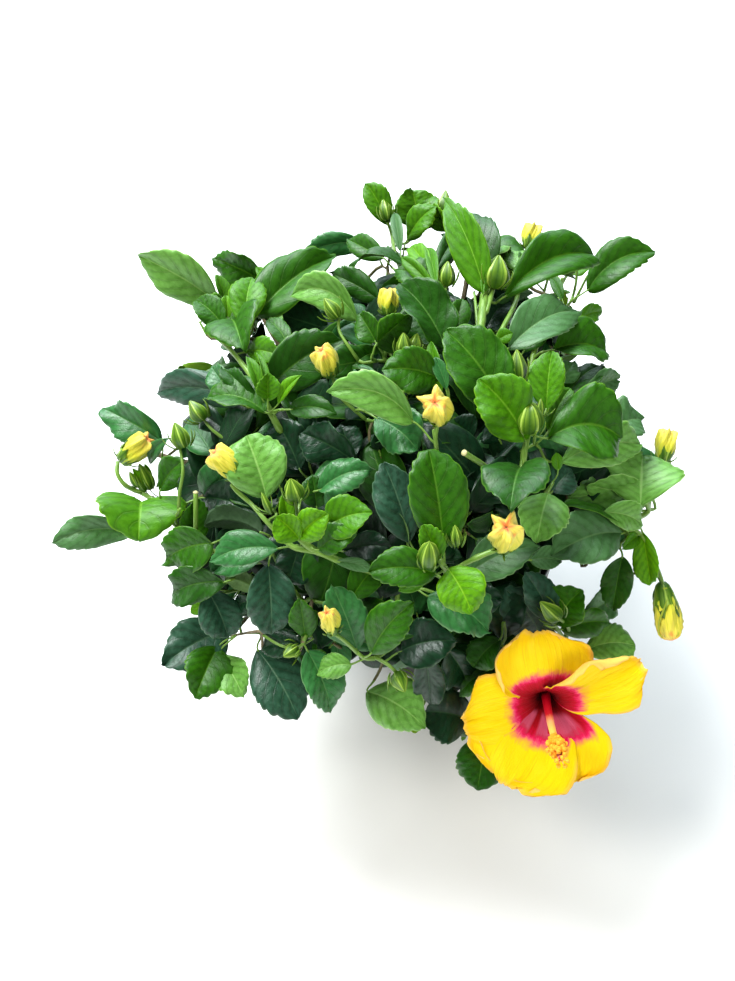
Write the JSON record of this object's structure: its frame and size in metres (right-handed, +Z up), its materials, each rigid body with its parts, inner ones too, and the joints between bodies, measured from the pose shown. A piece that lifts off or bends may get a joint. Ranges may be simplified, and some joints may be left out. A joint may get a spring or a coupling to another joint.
{
  "type": "hibiscus shrub in a nursery pot",
  "caption": "Bushy hibiscus shrub in a plain dark nursery pot: glossy toothed leaves, furled yellow buds and an open yellow flower with a crimson eye.",
  "frame": {"origin": "Middle of the pot's flat underside, on the surface that the pot stands on.", "axes": "+Z up out of the pot, -Y towards the front of the plant where the open flower is, +X to the right seen from the front."},
  "size_m": [0.5849, 0.5514, 0.495],
  "materials": {
    "pot_plastic": "satin moulded black plastic",
    "potting_mix": "damp bark and peat mix with white perlite",
    "bark": "grey brown bark, green on young shoots",
    "leaves": "glossy green leaf",
    "petals": "soft satin yellow petal with a crimson eye"
  },
  "bodies": {
    "root": {"bough_back": "bark", "bough_flower": "bark", "bough_front": "bark", "bough_left": "bark", "bough_low_left": "bark", "bough_right": "bark", "bough_sprig": "bark", "bough_top": "bark", "bough_top_left": "bark", "bough_top_right": "bark", "bough_upper": "bark", "flower": "petals", "leaves_back": "leaves", "leaves_back_left": "leaves", "leaves_back_right": "leaves", "leaves_centre": "leaves", "leaves_centre_high": "leaves", "leaves_centre_left": "leaves", "leaves_centre_low": "leaves", "leaves_centre_right": "leaves", "leaves_centre_top": "leaves", "leaves_front_foot": "leaves", "leaves_front_low": "leaves", "leaves_front_mid": "leaves", "leaves_front_right": "leaves", "leaves_front_right_mid": "leaves", "leaves_front_tip": "leaves", "leaves_front_under": "leaves", "leaves_heart": "leaves", "leaves_left_front": "leaves", "leaves_left_inner": "leaves", "leaves_left_low": "leaves", "leaves_left_mid": "leaves", "leaves_left_shoulder": "leaves", "leaves_left_upper": "leaves", "leaves_low_front_left": "leaves", "leaves_low_left": "leaves", "leaves_low_left_mid": "leaves", "leaves_low_left_tip": "leaves", "leaves_right_hang": "leaves", "leaves_right_low": "leaves", "leaves_right_mid": "leaves", "leaves_right_shoulder": "leaves", "leaves_right_side": "leaves", "leaves_right_upper": "leaves", "leaves_sprig_lower": "leaves", "leaves_sprig_upper": "leaves", "leaves_top_back": "leaves", "leaves_top_left": "leaves", "leaves_top_left_tip": "leaves", "leaves_top_mid": "leaves", "leaves_top_right": "leaves", "leaves_top_right_tip": "leaves", "leaves_upper_left": "leaves", "pot": "pot_plastic", "potting_mix": "potting_mix", "stem_back": "bark", "stem_front": "bark", "stem_left": "bark", "stem_right": "bark"}
  },
  "joints": []
}
